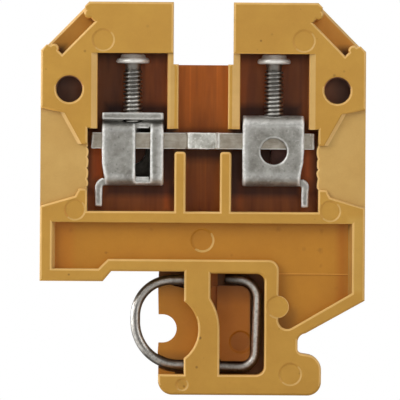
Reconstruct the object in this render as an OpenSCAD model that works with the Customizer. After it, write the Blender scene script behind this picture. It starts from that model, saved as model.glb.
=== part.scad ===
// Feed-through terminal block for a 32 mm G-section rail, seen from its open side.
// Millimetres, +Z up. X runs along the wires, the open face looks to -Y,
// Z = 0 is the underside of the foot and X = 0 the middle of the body.

/* [Body] */
// length of the body along the wires
body_l = 40; // [38:0.5:44]
// thickness of the block, which is its pitch on the rail
body_t = 6.5; // [6.5:0.1:8]
// height over all
body_h = 48.3; // [48.3:0.1:50]
// thickness of the closed back wall
back_wall = 1.0; // [0.8:0.05:1.4]
// gap between the two towers
tower_gap = 7.4; // [6.4:0.1:7.6]
// height of the floor of that gap
gap_floor = 40.65; // [40:0.05:41]
// length of the sloping marker faces along X
slope_x = 5.9; // [5.5:0.1:6.2]
// depth of the marker groove
groove_d = 2.2; // [1.8:0.1:2.4]

/* [Chambers] */
// middle of each clamp, from the middle of the body
clamp_x = 8.7; // [8.6:0.05:8.8]
// plane of the clamps and bar, from the middle of the thickness
clamp_y = -0.5; // [-0.6:0.05:-0.4]
// ceiling of the screw chambers
ceiling_z = 42.0; // [42:0.1:42.4]
// floor of the clamp chambers
chamber_z = 22.55; // [22.4:0.05:22.6]
// radius of the driver ports in the tower tops
port_r = 1.9; // [1.7:0.05:2.0]
// radius of the blind sockets
socket_r = 1.6; // [1.4:0.05:1.7]
// depth of the blind sockets
socket_d = 4.6; // [3.5:0.1:5]
// depth of the large shallow recess under the chambers
recess_d = 1.2; // [1.0:0.05:2.4]

/* [Clamp] */
// sheet thickness of the clamp yokes
sheet = 0.9; // [0.8:0.05:1.0]
// width of a yoke along X
yoke_w = 7.6; // [7.4:0.05:7.65]
// depth of a yoke along Y
yoke_d = 4.6; // [4.4:0.1:4.7]
// underside of a yoke, fully open
yoke_z0 = 25.7; // [25.6:0.05:25.75]
// top of a yoke, fully open
yoke_z1 = 34.7; // [34.5:0.05:34.75]
// thread radius of the clamp screws
screw_r = 1.25; // [1.2:0.05:1.3]
// radial play between screw and yoke
thread_play = 0.05; // [0.04:0.01:0.08]

/* [Bar] */
// half length of the current bar
bar_half = 13.85; // [13.5:0.05:13.9]
// width of the bar along Y
bar_w = 2.6; // [2.2:0.05:2.6]
// height of the bar
bar_t = 2.0; // [1.8:0.05:2.0]
// underside of the bar
bar_z = 30.25; // [30.2:0.05:30.3]
// radius of the tapped hole in the middle of the bar
link_r = 1.05; // [0.9:0.05:1.1]

/* [Rail spring] */
// wire diameter
wire_d = 1.2; // [1.1:0.05:1.2]
// radius of the lower half of the bow, to the middle of the wire
bow_r = 5.4; // [5.35:0.01:5.42]
// radius of the upper half of the bow, to the middle of the wire
bow_r2 = 4.46; // [4.44:0.01:4.48]
// fall of the lower run towards the right, in degrees
run_fall = 2.7; // [2.5:0.1:2.8]

/* [Hidden] */
$fn = 96;
yf = -body_t / 2;
yb = body_t / 2;
hx = body_l / 2;
yin = yb - back_wall;
top_x = hx - slope_x;
slope_z = 6.0;
slope_a = atan2(-slope_z, slope_x);
bar_top = bar_z + bar_t;
foot_x = -5.35;
island_y = 0.5;
groove_y = 2.0;
wire_y = 0.62;
fold_r = 1.6;
skin_y = -2.65;
skin_in = -1.95;
bow_x = -2.81;
bow_z = 8.94;
bow_left = bow_x - bow_r;
wire_hi = 14.19;
wire_gap = 0.85;
bite = 0.05;
bow_x2 = bow_left + bow_r2;
bow_z2 = wire_hi - bow_r2;
drop_x = bow_x - bow_r * sin(run_fall);
drop_z = bow_z - bow_r * cos(run_fall);

// points on an arc, angles in degrees
function arc(cx, cz, r, a0, a1, n = 12) =
  [for (i = [0:n]) [cx + r * cos(a0 + (a1 - a0) * i / n), cz + r * sin(a0 + (a1 - a0) * i / n)]];

// a flat shape drawn in X and Z, given a thickness from y0 to y1
module slab(y0, y1) translate([0, y1, 0]) rotate([90, 0, 0]) linear_extrude(y1 - y0) children();

// the same on both sides of the middle
module pair() {
  children();
  mirror([1, 0, 0]) children();
}

// a long wedge along the edge from p to q: w wide at depth y0, nothing at y1
module edge_wedge(p, q, w, y0, y1) {
  d = q - p;
  translate([p[0], 0, p[1]]) rotate([0, -atan2(d[1], d[0]), 0]) rotate([90, 0, 90])
    linear_extrude(norm(d)) polygon([[y0, -0.05], [y1, -0.05], [y1, 0], [y0, w]]);
}

module outline() polygon(concat(
  [[-top_x, body_h], [-tower_gap / 2, body_h], [-tower_gap / 2, gap_floor],
   [tower_gap / 2, gap_floor], [tower_gap / 2, body_h], [top_x, body_h],
   [hx, body_h - slope_z], [hx, 11.7], [12.75, 7.65]],
  arc(12.85, 6.6, 1.05, 108, 180, 8),
  arc(12.4, 5.75, 0.6, 180, 262, 8),
  [[13.0, 5.05]],
  arc(12.8, 3.15, 1.9, 78, 0, 14),
  arc(13.0, 1.7, 1.7, 0, -90, 14),
  arc(foot_x + 1.75, 1.75, 1.75, -90, -180, 12),
  [[foot_x, 15.15], [-11.2, 15.15], [-12.25, 13.9], [-hx, 13.9], [-hx, body_h - slope_z]]));

// marker groove with two rounded holding noses, drawn along the right slope
module marker_groove() translate([top_x, body_h]) rotate(slope_a) difference() {
  union() {
    translate([1.27, -groove_d]) square([5.68, groove_d - 0.4]);
    polygon([[0.62, 0.2], [0.85, -0.1], [1.05, -0.42], [1.27, -0.6], [6.95, -0.6],
             [7.17, -0.42], [7.37, -0.1], [7.6, 0.2]]);
  }
  for (u = [1.05, 7.17]) translate([u, -1.0]) circle(r = 0.6);
}

// screw chamber, clamp chamber and bar passage on both sides of the middle
module chambers() {
  pair() translate([4.55, 32.0]) square([8.45, ceiling_z - 32.0]);
  translate([-14.2, chamber_z]) square([28.4, 32.7 - chamber_z]);
  translate([-3.05, 32.0]) square([6.1, gap_floor + 0.3 - 32.0]);
}

// recess of the wire funnel in the open face
module funnel_face() polygon([[hx + 0.1, 35.2], [17.6, 34.7], [15.4, 30.75], [14.1, 30.75],
  [14.1, 25.3], [15.25, 25.3], [15.7, 24.4], [hx + 0.1, 23.1]]);

// passage behind it, from the side of the body to the clamp
module funnel_way() polygon([[hx + 0.2, 34.4], [17.8, 33.7], [15.6, 30.75], [14.1, 30.75],
  [14.1, 25.3], [15.4, 25.3], [hx + 0.2, 23.9]]);

// large shallow recess between the chambers and the rail side
module recess() polygon(concat(
  [[-18.15, 21.15], [-18.15, 15.45], [-12.8, 15.45], [-11.6, 16.65]],
  arc(8.15, 15.35, 1.3, 90, 0),
  arc(10.5, 9.27, 1.1, 180, 300, 10),
  [[17.95, 12.34], [17.95, 21.15]]));

// open pocket at the left of the foot, up to the concave post
module left_pocket() polygon(concat(
  [[foot_x - 0.2, 2.5], [-2.2, 2.5]],
  arc(-4.8, 8.0, 4.37, -53.5, 53.5, 20),
  [[-2.2, 15.15], [foot_x - 0.2, 15.15]]));

// closed pocket at the right of the foot
module right_pocket() polygon(concat(
  [[2.2, 2.5]],
  arc(6.68, 3.5, 1.0, -90, 0, 8),
  arc(6.68, 13.93, 1.0, 0, 90, 8),
  [[1.04, 14.93], [1.04, 11.95]],
  arc(-4.8, 8.0, 7.0, 32, 0, 10)));

// step in that pocket beside the post, lower than the raised floor
module pocket_step() intersection() {
  right_pocket();
  translate([0.5, 9]) square([1.34, 7]);
}

// raised floor inside the right pocket, which the spring wire lies around
module island() polygon(concat(
  [[0.9, 4.12]],
  arc(4.95, 5.12, 1.0, -90, 0, 8),
  arc(4.65, 12.1, 1.3, 0, 90, 10),
  [[1.84, 13.4], [1.84, 15.0], [0.9, 15.0]]));

// track of the wire in the left pocket
module bow_track() {
  intersection() {
    translate([bow_x, bow_z]) difference() {
      circle(r = bow_r + wire_gap);
      circle(r = bow_r - wire_gap);
    }
    translate([-12, 0]) square([12, bow_z]);
  }
  intersection() {
    translate([bow_x2, bow_z2]) difference() {
      circle(r = bow_r2 + wire_gap);
      circle(r = bow_r2 - wire_gap);
    }
    translate([-12, bow_z2]) square([12, 8]);
  }
  translate([-8, wire_hi - wire_gap]) square([9, 3]);
  translate([-3.3, 1.45]) square([4.3, 2.95]);
}

// lower post beside the middle of the bar, with a rounded top
module lower_post() polygon(concat(
  [[3.5, chamber_z - 0.1]],
  arc(3.1, 29.5, 0.4, 0, 90, 6),
  arc(2.5, 29.5, 0.4, 90, 180, 6),
  [[2.1, chamber_z - 0.1]]));

module housing() color([0.73, 0.56, 0.26]) difference() {
  union() {
    difference() {
      slab(yf, yb) outline();
      slab(yf - 0.1, yin) pair() marker_groove();
      slab(yf - 0.1, yin) chambers();
      slab(yf - 0.1, yf + recess_d) recess();
      // sloping ends of the recess
      edge_wedge([-18.15, 15.45], [-18.15, 21.15], 0.36, yf - 0.05, yf + recess_d);
      intersection() {
        edge_wedge([17.95, 21.15], [17.95, 11.9], 0.5, yf - 0.05, yf + recess_d);
        slab(yf - 0.1, yf + recess_d + 0.1) polygon([[17.0, 11.786], [18.6, 12.719], [18.6, 21.15], [17.0, 21.15]]);
      }
      // bare panel, a little deeper than the recess
      slab(yf + recess_d - 0.1, yf + recess_d + 0.12) intersection() {
        recess();
        translate([9, 7.5]) square([9.5, 7.4]);
      }
      slab(yf - 0.1, skin_y) pair() funnel_face();
      slab(skin_in, yin) pair() funnel_way();
      slab(yf - 0.1, island_y) left_pocket();
      slab(yf - 0.1, island_y) right_pocket();
      // the wire lies in a deeper groove around the raised floors
      slab(island_y - 0.1, groove_y) difference() {
        right_pocket();
        island();
      }
      slab(island_y - 0.1, island_y + 0.6) pocket_step();
      slab(island_y - 0.1, groove_y) intersection() {
        left_pocket();
        bow_track();
      }
      // the wire runs through the post behind its front
      slab(-0.25, groove_y) translate([-2.4, 13.3]) square([4.4, 1.63]);
      slab(-0.25, groove_y) translate([-2.4, 2.5]) square([4.8, 1.8]);
    }
    slab(yf, yin + 0.2) pair() lower_post();
    // seats that hold the bar between them
    pair() translate([2.1, clamp_y, 29.0]) cube([1.4, yin + 0.2 - clamp_y, bar_z - 29.0]);
    pair() translate([3.05, clamp_y, bar_top]) cube([1.5, yin + 0.2 - clamp_y, 1.0]);
    // round pad that stands in the recess at the height of the open face
    translate([9.33, 0, 10.87]) rotate([90, 0, 0]) cylinder(r = 1.38, h = -yf);
  }
  // open notch in the back wall at the left of the foot
  slab(-1, yb + 0.1) union() {
    translate([-4.86, 8.08]) circle(r = 1.75);
    translate([-8, 6.33]) square([3.14, 3.5]);
  }
  // blind sockets for the peg of the next block
  pair() translate([16.5, yf + socket_d, 37.5]) rotate([90, 0, 0]) cylinder(r = socket_r, h = socket_d + 0.1);
  // driver ports
  pair() translate([clamp_x, clamp_y, ceiling_z - 0.1]) cylinder(r = port_r, h = body_h - ceiling_z + 0.3);
  // bevelled edges along the screw chambers
  pair() translate([0, 0, 32.7]) linear_extrude(ceiling_z - 32.7)
    polygon([[12.9, yf - 0.1], [13.8, yf - 0.1], [13.8, yf], [13.0, yf + 0.4], [12.9, yf + 0.4]]);
  pair() translate([0, 0, 32.6]) linear_extrude(ceiling_z - 32.6)
    polygon([[4.65, yf - 0.1], [3.55, yf - 0.1], [3.55, yf], [4.55, yf + 0.45], [4.65, yf + 0.45]]);
  // drafted upper wall of each funnel face
  pair() intersection() {
    edge_wedge([15.122, 30.25], [17.879, 35.2], 0.45, yf - 0.05, skin_y);
    slab(yf - 0.1, skin_y + 0.1) polygon([[14.3, 30.75], [19, 30.75], [19, 34.98], [14.3, 34.04]]);
  }
}

module current_bar() color([0.6, 0.57, 0.52]) difference() {
  translate([0, 0, bar_z]) linear_extrude(bar_t) union() {
    translate([-bar_half, clamp_y - bar_w / 2]) square([2 * bar_half, bar_w]);
    polygon([[-2.05, clamp_y - bar_w / 2 + 0.1], [-1.85, clamp_y - 1.75], [1.55, clamp_y - 1.75], [2.0, clamp_y - bar_w / 2 + 0.1],
             [2.0, clamp_y + bar_w / 2 - 0.1], [1.55, clamp_y + 1.75], [-1.85, clamp_y + 1.75], [-2.05, clamp_y + bar_w / 2 - 0.1]]);
  }
  translate([0, clamp_y, bar_z - 0.1]) cylinder(r = link_r, h = bar_t + 0.2);
}

// section of a yoke in Y and Z: a strip bent into a box, its ends lapped at the top
module yoke_section() {
  a = yoke_d / 2;
  i = a - sheet;
  zt = yoke_z1 - sheet;
  zl = zt - 0.2;
  polygon(concat(
    [[a, yoke_z1]],
    arc(-a + fold_r, yoke_z1 - fold_r, fold_r, 90, 180, 10),
    arc(-a + fold_r, yoke_z0 + fold_r, fold_r, 180, 270, 10),
    arc(a - fold_r, yoke_z0 + fold_r, fold_r, 270, 360, 10),
    arc(a - fold_r, zl - fold_r, fold_r, 0, 90, 10),
    [[-i + 0.35, zl], [-i + 0.35, zl - sheet]],
    arc(a - fold_r, zl - fold_r, fold_r - sheet, 90, 0, 6),
    arc(a - fold_r, yoke_z0 + fold_r, fold_r - sheet, 360, 270, 6),
    arc(-a + fold_r, yoke_z0 + fold_r, fold_r - sheet, 270, 180, 6),
    arc(-a + fold_r, yoke_z1 - fold_r, fold_r - sheet, 180, 90, 6),
    [[a, zt]]));
}

// one yoke about its own middle, the wall with the round hole to the front, the tongue at +X
module yoke() difference() {
  union() {
    translate([3.75 - yoke_w, 0, 0]) rotate([90, 0, 90]) linear_extrude(yoke_w) yoke_section();
    slab(-1, 1) polygon(concat(
      [[3.0, yoke_z0 + sheet]],
      arc(3.4, yoke_z0 - 0.2, 1.1, 90, 0, 10),
      [[4.5, 23.1], [3.6, 23.1]],
      arc(3.4, yoke_z0 - 0.2, 0.2, 0, 90, 4),
      [[3.0, yoke_z0]]));
  }
  // round hole in the front wall
  translate([0, -1.2, 30.0]) rotate([90, 0, 0]) cylinder(r = 1.62, h = 1.4);
  // tall window in the back wall
  translate([-2.2, 1.35, 26.1]) cube([1.82, 2, 7.7]);
  translate([-2.2, 0.6, 30]) cube([1.82, 2, 2.65]);
  // hole for the screw through both layers of the top
  translate([0, 0, 32]) cylinder(r = screw_r + thread_play, h = 4);
  // the walls draw in above the tongue
  for (s = [-1, 1]) slab(s * 2.2 - 1.2, s * 2.2 + 1.2)
    polygon([[3.9, 30.0], [3.75, 30.0], [3.64, 28.6], [3.41, 27.5], [3.29, 26.6], [3.29, 25.5], [3.9, 25.5]]);
}

module left_clamp_yoke() color([0.6, 0.59, 0.56]) translate([-clamp_x, clamp_y, 0]) rotate([0, 0, 180]) yoke();
module right_clamp_yoke() color([0.6, 0.59, 0.56]) translate([clamp_x, clamp_y, 0]) yoke();

// captive clamp screw: threaded shank, plain neck, flange and slotted head
module clamp_screw() difference() {
  union() {
    translate([0, 0, bar_top + 0.05]) cylinder(r1 = screw_r - 0.35, r2 = screw_r, h = 0.35);
    translate([0, 0, bar_top + 0.4]) cylinder(r = screw_r, h = 40.0 - bar_top - 0.4);
    translate([0, 0, 40.0]) cylinder(r = 0.95, h = 0.85);
    translate([0, 0, 40.85]) cylinder(r = 2.25, h = 0.6);
    translate([0, 0, 41.45]) cylinder(r = 1.55, h = 0.5);
  }
  translate([-3, -0.3, 41.4]) cube([6, 0.6, 1]);
}

module left_clamp_screw() color([0.66, 0.65, 0.62]) translate([-clamp_x, clamp_y, 0]) clamp_screw();
module right_clamp_screw() color([0.66, 0.65, 0.62]) translate([clamp_x, clamp_y, 0]) clamp_screw();

// straight piece of wire of length l along +X, set a little into the bends at its ends, and what follows
module ahead(l) {
  translate([-bite, 0, 0]) rotate([0, 90, 0]) cylinder(d = wire_d - 0.004, h = l + 2 * bite);
  translate([l, 0, 0]) children();
}

// bent wire about a middle at (x, z), from angle a over b degrees
module bend(x, z, r, a, b) translate([x, wire_y, z]) rotate([90, 0, 0]) rotate([0, 0, a])
  rotate_extrude(angle = b) translate([r, 0]) circle(d = wire_d);

// bend of radius r to the left over a degrees, and what follows at its end
module left_turn(r, a) {
  translate([0, 0, r]) rotate([90, 0, 0]) rotate([0, 0, -90]) rotate_extrude(angle = a) translate([r, 0]) circle(d = wire_d);
  translate([r * sin(a), 0, r * (1 - cos(a))]) rotate([0, -a, 0]) children();
}

module rail_spring() color([0.7, 0.7, 0.7]) union() {
  translate([bow_x2, wire_y, wire_hi]) ahead(0.45 - bow_x2);
  bend(bow_x2, bow_z2, bow_r2, 90, 90);
  translate([bow_left, wire_y, bow_z]) rotate([0, -90, 0]) ahead(bow_z2 - bow_z);
  bend(bow_x, bow_z, bow_r, 180, 90 - run_fall);
  translate([drop_x, wire_y, drop_z]) rotate([0, run_fall, 0])
    ahead(7.7) left_turn(2.05, 90.9) ahead(6.53) left_turn(2.3, 88.3) ahead(2.07);
}

// piece to draw, or all

housing();
current_bar();
left_clamp_yoke();
right_clamp_yoke();
left_clamp_screw();
right_clamp_screw();
rail_spring();
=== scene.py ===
import math
import bpy
import bmesh
import numpy as np
from mathutils import Vector, Matrix, Quaternion, noise
from mathutils.bvhtree import BVHTree


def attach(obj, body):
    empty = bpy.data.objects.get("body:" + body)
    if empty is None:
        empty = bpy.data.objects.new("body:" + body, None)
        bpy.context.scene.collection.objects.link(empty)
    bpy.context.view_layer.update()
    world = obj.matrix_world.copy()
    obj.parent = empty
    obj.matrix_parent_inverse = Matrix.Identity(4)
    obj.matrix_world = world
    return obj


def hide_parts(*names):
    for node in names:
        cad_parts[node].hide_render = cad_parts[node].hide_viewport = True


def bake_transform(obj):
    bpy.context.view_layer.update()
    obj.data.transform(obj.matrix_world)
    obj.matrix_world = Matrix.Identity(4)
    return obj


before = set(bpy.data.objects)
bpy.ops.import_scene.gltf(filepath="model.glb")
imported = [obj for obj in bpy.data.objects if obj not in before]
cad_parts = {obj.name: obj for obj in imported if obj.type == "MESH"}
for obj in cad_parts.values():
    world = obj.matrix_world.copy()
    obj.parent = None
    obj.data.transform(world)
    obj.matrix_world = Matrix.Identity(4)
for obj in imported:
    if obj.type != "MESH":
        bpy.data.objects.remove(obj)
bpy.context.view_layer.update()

scene = bpy.context.scene
MM = 0.001


# ---------------------------------------------------------------- mesh helpers
# All shaping is done in millimetres and brought to metres when a piece is made.

def cad_bm(node):
    """A CAD node's mesh as clean faces, in millimetres."""
    bm = bmesh.new()
    bm.from_mesh(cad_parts[node].data)
    bm.transform(Matrix.Scale(1000, 4))
    bmesh.ops.remove_doubles(bm, verts=bm.verts, dist=0.004)
    bmesh.ops.dissolve_limit(bm, angle_limit=math.radians(0.6), verts=bm.verts, edges=bm.edges)
    bmesh.ops.recalc_face_normals(bm, faces=bm.faces)
    return bm


def sharp_edges(bm, limit=28.0, convex_only=False, keep=None):
    lim = math.radians(limit)
    out = []
    for e in bm.edges:
        if len(e.link_faces) != 2:
            continue
        a = e.calc_face_angle_signed(0.0)
        if abs(a) < lim or (convex_only and a < 0):
            continue
        if keep is not None and not keep(e):
            continue
        out.append(e)
    return out


def bevel(bm, edges, width, segments=2, material=-1, clamp=True):
    bmesh.ops.bevel(bm, geom=edges, offset=width, offset_type="OFFSET", segments=segments,
                    profile=0.5, affect="EDGES", clamp_overlap=clamp, material=material,
                    loop_slide=True, miter_outer="SHARP", miter_inner="SHARP")


def make(name, bm, materials):
    """A new piece from a mesh in millimetres."""
    bm.transform(Matrix.Scale(MM, 4))
    me = bpy.data.meshes.new(name)
    for f in bm.faces:
        f.smooth = True
    bm.to_mesh(me)
    bm.free()
    for m in materials:
        me.materials.append(m)
    ob = bpy.data.objects.new(name, me)
    scene.collection.objects.link(ob)
    return ob


def weighted(ob):
    w = ob.modifiers.new("normals", "WEIGHTED_NORMAL")
    w.mode = "FACE_AREA"
    w.weight = 60
    w.keep_sharp = True
    w.use_face_influence = False


def boolean(bm, cutter, operation="DIFFERENCE"):
    """Cuts one millimetre mesh with another, exactly. Both are used up; returns the result."""
    def temp(b, n):
        me = bpy.data.meshes.new(n)
        b.to_mesh(me)
        b.free()
        o = bpy.data.objects.new(n, me)
        scene.collection.objects.link(o)
        return o
    a, c = temp(bm, "tmp_a"), temp(cutter, "tmp_b")
    m = a.modifiers.new("cut", "BOOLEAN")
    m.operation, m.solver, m.object = operation, "EXACT", c
    dg = bpy.context.evaluated_depsgraph_get()
    out = bmesh.new()
    out.from_mesh(a.evaluated_get(dg).to_mesh())
    a.evaluated_get(dg).to_mesh_clear()
    for o in (a, c):
        me = o.data
        bpy.data.objects.remove(o)
        bpy.data.meshes.remove(me)
    return out


def rounded(node, voxel, passes, factor=0.5):
    """A CAD node's mesh in millimetres, remeshed finely and smoothed, so that every edge is rounded."""
    bm = cad_bm(node)
    me = bpy.data.meshes.new("tmp_round")
    bm.to_mesh(me)
    bm.free()
    o = bpy.data.objects.new("tmp_round", me)
    scene.collection.objects.link(o)
    r = o.modifiers.new("remesh", "REMESH")
    r.mode, r.voxel_size, r.adaptivity = "VOXEL", voxel, 0.0
    m = o.modifiers.new("smooth", "SMOOTH")
    m.factor, m.iterations = factor, passes
    dg = bpy.context.evaluated_depsgraph_get()
    out = bmesh.new()
    out.from_mesh(o.evaluated_get(dg).to_mesh())
    o.evaluated_get(dg).to_mesh_clear()
    bpy.data.objects.remove(o)
    bpy.data.meshes.remove(me)
    out.normal_update()
    return out


def crisp(bm, limit, soft_slots=()):
    """Marks the edges between flat faces as sharp, apart from those of rounded strips."""
    lim = math.radians(limit)
    for e in bm.edges:
        if len(e.link_faces) == 2 and e.calc_face_angle(0.0) > lim:
            if not any(f.material_index in soft_slots for f in e.link_faces):
                e.smooth = False


def rim(bm, faces, width, depth, push, slot):
    """Rounds the border of a flat region that looks along -Y or +Y: two rings are inset from the border and the
    outer ones moved back along the walls behind it. The rings narrow where the region itself is narrow."""
    region = set(faces)
    back = Vector(push)
    tiny = 0.004

    def inset():
        return set(bmesh.ops.inset_region(bm, faces=list(faces), thickness=tiny, depth=0.0, use_boundary=True,
                                          use_even_offset=True, use_interpolate=True, use_relative_offset=False,
                                          use_edge_rail=False)["faces"])

    def inward(ring, outer):
        """From each outer point of a ring to the inner point beside it."""
        out = {}
        for f in ring:
            for e in f.edges:
                i, j = e.verts
                if (i in outer) != (j in outer):
                    out[i if i in outer else j] = j if i in outer else i
        return out

    ring1 = inset()
    old = {v for f in ring1 for v in f.verts if any(g not in region and g not in ring1 for g in v.link_faces)}
    edges = [e for e in {e for f in ring1 for e in f.edges} if e.verts[0] in old and e.verts[1] in old]
    slope, plain = set(), set()
    for e in edges:
        a, b = e.verts[0].co, e.verts[1].co
        ceiling = abs(a.z - 42.1) < 0.3 and abs(b.z - 42.1) < 0.3 and max(abs(a.x), abs(b.x)) < 15.0
        if ceiling or any(-g.normal.dot(back) > 0.25 for g in e.link_faces if g not in ring1):
            slope.update(e.verts)  # a slope or a sharp edge joins here, which stays as it is
            if a.z > 22:
                plain.update(g for g in e.link_faces if g in ring1)
    first = {v: w.co - v.co for v, w in inward(ring1, old).items()}
    ring2 = inset()
    mid = inward(ring1, old)
    step = inward(ring2, set(mid.values()))
    inner = {v: step[mid[v]] for v in mid if mid[v] in step}
    # offset of each border point for one millimetre of inset, and how much inset it can take
    off = {}
    for v in old:
        o = first.get(v, Vector()) / tiny
        off[v] = o * min(1.0, 2.5 / max(o.length, 1e-9))
    seg = np.array([[e.verts[0].co.x, e.verts[0].co.z, e.verts[1].co.x, e.verts[1].co.z] for e in edges])
    room = {v: width for v in old}
    for e in edges:
        i, j = e.verts
        d = j.co - i.co
        k = (off[j] - off[i]).dot(d)
        if k < 0:
            for v in (i, j):
                room[v] = min(room[v], 0.7 * d.length_squared / -k)
    for v in old:
        o = Vector((off[v].x, off[v].z))
        if o.length < 1e-6:
            continue
        u = o.normalized()
        px, pz = v.co.x + u.x * 0.02, v.co.z + u.y * 0.02
        ax, az, bx, bz = seg.T
        dx, dz = bx - ax, bz - az
        den = u.x * dz - u.y * dx
        with np.errstate(divide="ignore", invalid="ignore"):
            t = ((ax - px) * dz - (az - pz) * dx) / den
            q = ((ax - px) * u.y - (az - pz) * u.x) / den
        hit = (np.abs(den) > 1e-9) & (t > 0.0) & (q > -0.01) & (q < 1.01)
        if hit.any():
            room[v] = min(room[v], 0.40 * float(t[hit].min() + 0.02) / max(o.length, 1.0))
    for _ in range(3):
        low = {}
        for e in edges:
            for v, w in (e.verts, reversed(e.verts)):
                low.setdefault(v, []).append((room[w], (w.co - v.co).length))
        room = {v: min([room[v]] + [r + 0.5 * d for r, d in low.get(v, [])]) for v in old}
    for v in old:
        if v not in mid or v not in inner:
            continue
        w = room[v]
        d = 0.0 if v in slope else depth * w / width
        here = v.co.copy()
        mid[v].co = here + off[v] * (w * 0.42) + back * (d * 0.30)
        inner[v].co = here + off[v] * w
        v.co = here + back * d
    plain.update(g for f in list(plain) for e in f.edges for g in e.link_faces if g in ring2)
    bm.normal_update()
    # painted highlight: ring faces that face up or sideways, and those at the recess's ends, get the paler slot;
    # downward ones keep their own
    for f in list(ring1) + list(ring2):
        c = f.calc_center_median()
        ends = abs(c.x) > 17.7 and 12 < c.z < 21.1
        if f not in plain and (ends or (f.normal.z > -0.12 and abs(f.normal.y) < 0.992)):
            f.material_index = slot


def wear_and_highlight(bm, lo, hi, blur=2, extra=None):
    """Stores how convex the mesh is at each point, 0 on flats and hollows to 1 on rounded edges, plus an optional
    extra term; the metals lay a paler colour on it as edge wear and painted highlight.
    """
    layer = bm.verts.layers.float.new("wear_and_highlight")
    bm.verts.ensure_lookup_table()
    bm.verts.index_update()
    co = np.array([v.co[:] for v in bm.verts])
    no = np.array([v.normal[:] for v in bm.verts])
    i, j = np.array([(e.verts[0].index, e.verts[1].index) for e in bm.edges]).T
    d = co[i] - co[j]
    d /= np.maximum(np.linalg.norm(d, axis=1), 1e-6)[:, None]
    n = np.bincount(np.r_[i, j], minlength=len(co))

    def mean(a, b):
        return np.bincount(np.r_[i, j], np.r_[a, b], len(co)) / np.maximum(n, 1)
    val = mean((no[i] * d).sum(1), -(no[j] * d).sum(1))
    for _ in range(blur):
        val = 0.5 * val + 0.5 * mean(val[j], val[i])
    val = np.clip((val - lo) / (hi - lo), 0.0, 1.0)
    for v in bm.verts:
        v[layer] = min(1.0, max(0.0, val[v.index] + (extra(v.co, v.normal) if extra else 0.0)))


def lathe(bm, rings, n, at=(0, 0, 0), axis="Z"):
    """Closed solid of revolution from (radius, height) rings, first and last closed with a cap."""
    loops = []
    for r, h in rings:
        loop = []
        for i in range(n):
            t = 2 * math.pi * i / n
            p = Vector((r * math.cos(t), r * math.sin(t), h))
            if axis == "Y":  # height runs along +Y
                p = Vector((p.x, p.z, -p.y))
            loop.append(bm.verts.new(p + Vector(at)))
        loops.append(loop)
    for a, b in zip(loops, loops[1:]):
        for i in range(n):
            bm.faces.new((a[i], a[(i + 1) % n], b[(i + 1) % n], b[i]))
    bm.faces.new(list(reversed(loops[0])))
    bm.faces.new(loops[-1])


def tube(bm, path, radius, n=22, domed=0.35):
    """A round wire along a list of points that lie in one X-Z plane, with painted highlight bands stored at each
    point.
    """
    layer = bm.verts.layers.float.new("wear_and_highlight")
    rings = []
    up = Vector((0, 1, 0))
    for k, p in enumerate(path):
        a, b = path[max(k - 1, 0)], path[min(k + 1, len(path) - 1)]
        d = (b - a).normalized()
        side = d.cross(up).normalized()
        ring = []
        for i in range(n):
            u = side * math.cos(2 * math.pi * i / n) + up * math.sin(2 * math.pi * i / n)
            v = bm.verts.new(p + u * radius)
            # painted highlight on the side facing -Y, leaning left and up, weaker where the wire runs along X
            k = min(1.0, max(0.0, (-u.y - 0.40 * u.x + 0.15 * u.z - 0.52) / 0.48)) * (1.0 - 0.45 * d.x * d.x)
            k = max(k, 0.31)
            if p.x < -2.8:  # the bow: one broad painted highlight band, and two on its outer left side
                out = (p - Vector((-2.8, p.y, 9.3))).normalized()
                s = u.dot(out)
                two_bands = min(1.0, max(0.0, (-0.985 * out.x - 0.174 * out.z - 0.78) / 0.13))
                two = max(1.0 - abs(s - 0.56) / 0.46, 0.92 - abs(s + 0.36) / 0.34) * 1.6
                one = min(0.60, 1.15 * (1.0 - abs(s + 0.08 + 0.20 * min(0.0, out.z)) / 0.70))
                two = max(two, 0.36 if s > -0.8 else 0.25)
                band = min(1.0, two) * two_bands + max(0.19, one) * (1 - two_bands) if u.y < 0.35 else 0.36
                t = min(1.0, (-2.8 - p.x) / 1.6)
                k = k * (1 - t) + t * band
            if p.z > 12.5 and 1.5 < p.x < 5.0:  # painted shade: the highlight fades toward the cut end in the track
                k *= min(1.0, max(0.2, (p.x - 2.4) / 2.6))
            v[layer] = k * k * (3 - 2 * k)
            ring.append(v)
        rings.append(ring)
    for k, (p, q) in enumerate(((path[0], path[1]), (path[-1], path[-2]))):
        d = (p - q).normalized()
        src = rings[0] if k == 0 else rings[-1]
        caps = []
        for s, o in ((0.93, 0.10), (0.72, 0.16)):
            caps.append([bm.verts.new(p + (v.co - p) * s + d * o * domed / 0.35) for v in src])
        seq = [src] + caps
        for a, b in zip(seq, seq[1:]):
            for i in range(n):
                f = (a[i], a[(i + 1) % n], b[(i + 1) % n], b[i])
                bm.faces.new(f if k else tuple(reversed(f)))
        bm.faces.new(seq[-1] if k else list(reversed(seq[-1])))
    for a, b in zip(rings, rings[1:]):
        for i in range(n):
            bm.faces.new((a[i], a[(i + 1) % n], b[(i + 1) % n], b[i]))
    bmesh.ops.recalc_face_normals(bm, faces=bm.faces)


# ---------------------------------------------------------------- materials

def srgb(r, g, b):
    def lin(c):
        c /= 255.0
        return c / 12.92 if c <= 0.04045 else ((c + 0.055) / 1.055) ** 2.4
    return (lin(r), lin(g), lin(b), 1.0)


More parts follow.
